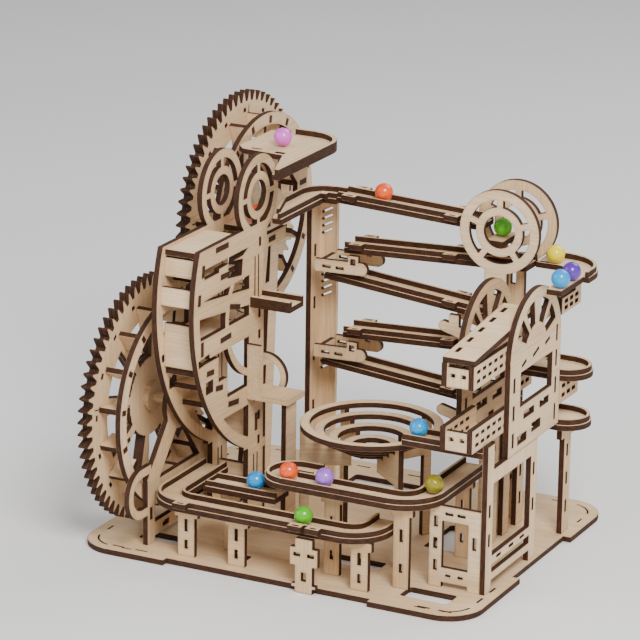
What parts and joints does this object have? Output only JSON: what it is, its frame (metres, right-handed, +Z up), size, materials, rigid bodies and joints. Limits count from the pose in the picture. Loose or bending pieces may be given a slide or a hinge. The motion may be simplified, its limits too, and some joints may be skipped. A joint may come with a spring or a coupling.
{
  "type": "marble run",
  "caption": "Laser-cut plywood marble run: two meshed lifting wheels turned by a crank, a ramp tower, zigzag rails, a stepped funnel and tracks on one base.",
  "frame": {"origin": "centre of the base plate's underside", "axes": "+X to the right along the front edge, +Y to the back, +Z up"},
  "size_m": [0.2509, 0.2398, 0.2192],
  "materials": {
    "birch_pale": "satin laser-cut plywood",
    "birch_warm": "satin laser-cut plywood",
    "dowel": "smooth turned beech",
    "marble_orange": "glossy",
    "marble_green": "glossy",
    "marble_blue": "glossy",
    "marble_lilac": "glossy",
    "marble_olive": "glossy",
    "marble_cyan": "glossy",
    "marble_pink": "glossy",
    "marble_mixed": "glossy"
  },
  "bodies": {
    "frame": {"base_plate": "birch_pale", "front_stand": "birch_warm", "lower_wheel_support": "birch_warm", "rear_support_left": "birch_warm", "rear_support_right": "birch_warm", "cross_ties": "birch_warm", "tower_plate_left": "birch_warm", "tower_plate_right": "birch_warm", "tower_ramps": "birch_pale", "tower_covers": "birch_pale", "mid_shelf": "birch_pale", "loop_stand": "birch_pale", "top_tray": "birch_pale", "corner_track": "birch_pale", "rail_1": "birch_pale", "rail_2": "birch_warm", "rail_3": "birch_pale", "rail_4": "birch_warm", "rail_5": "birch_pale", "post_plates": "birch_warm", "post_brackets": "birch_pale", "end_ring_front": "birch_pale", "end_ring_back": "birch_warm", "arch_plate_left": "birch_warm", "arch_plate_right": "birch_pale", "chute_roof": "birch_pale", "upper_box": "birch_pale", "lower_box": "birch_pale", "side_frame": "birch_pale", "front_frame": "birch_pale", "turn_tray_top": "birch_pale", "turn_tray_middle": "birch_pale", "turn_tray_low": "birch_pale", "tray_brackets": "birch_warm", "funnel_rings": "birch_pale", "funnel_entry": "birch_pale", "low_track": "birch_pale", "inner_lane": "birch_pale", "high_track": "birch_pale", "track_posts": "birch_warm", "marbles_parked": "marble_mixed"},
    "lower_wheel": {"lower_gear_outer": "birch_warm", "lower_gear_inner": "birch_pale", "lower_wheel_ring": "birch_pale", "lower_wheel_paddles": "birch_pale", "lower_axle": "dowel", "crank_arm": "birch_pale"},
    "upper_wheel": {"upper_gear_outer": "birch_warm", "upper_gear_inner": "birch_pale", "upper_wheel_ring": "birch_pale", "upper_wheel_paddles": "birch_pale", "upper_axle": "dowel"},
    "crank_knob": {"crank_knob": "dowel"},
    "marble_rail": {"marble_rail": "marble_orange"},
    "marble_low_track": {"marble_low_track": "marble_green"},
    "marble_inner_lane": {"marble_inner_lane": "marble_blue"},
    "marble_high_front": {"marble_high_front": "marble_lilac"},
    "marble_high_side": {"marble_high_side": "marble_olive"},
    "marble_entry": {"marble_entry": "marble_cyan"},
    "marble_top_tray": {"marble_top_tray": "marble_pink"}
  },
  "joints": [
    {"name": "lower_wheel_turn", "type": "hinge", "parent": "frame", "child": "lower_wheel", "pos_m": [-0.097, -0.0442, 0.074], "axis": [1, 0, 0], "continuous": true},
    {"name": "upper_wheel_turn", "type": "hinge", "parent": "frame", "child": "upper_wheel", "pos_m": [-0.097, 0.06132, 0.15197], "axis": [1, 0, 0], "continuous": true},
    {"name": "crank_knob_spin", "type": "hinge", "parent": "lower_wheel", "child": "crank_knob", "pos_m": [-0.117, -0.01072, 0.0681], "axis": [1, 0, 0], "continuous": true},
    {"name": "rail_marble_roll", "type": "slide", "parent": "frame", "child": "marble_rail", "axis": [-0.999, 0, 0.0441], "range_m": [0, 0.016]},
    {"name": "low_track_marble_roll", "type": "slide", "parent": "frame", "child": "marble_low_track", "axis": [1, 0, 0], "range_m": [-0.06, 0.018]},
    {"name": "inner_lane_marble_roll", "type": "slide", "parent": "frame", "child": "marble_inner_lane", "axis": [1, 0, 0], "range_m": [-0.02, 0]},
    {"name": "high_track_marble_roll", "type": "slide", "parent": "frame", "child": "marble_high_front", "axis": [1, 0, 0], "range_m": [-0.008, 0.036]},
    {"name": "side_track_marble_roll", "type": "slide", "parent": "frame", "child": "marble_high_side", "axis": [0, 1, 0], "range_m": [0, 0.046]},
    {"name": "entry_marble_roll", "type": "slide", "parent": "frame", "child": "marble_entry", "axis": [1, 0, 0], "range_m": [-0.004, 0.0155]},
    {"name": "top_tray_marble_roll", "type": "slide", "parent": "frame", "child": "marble_top_tray", "axis": [0, 1, 0], "range_m": [-0.012, 0.016]}
  ],
  "couplings": [
    {"joint": "upper_wheel_turn", "follows": "lower_wheel_turn", "ratio": -1}
  ]
}
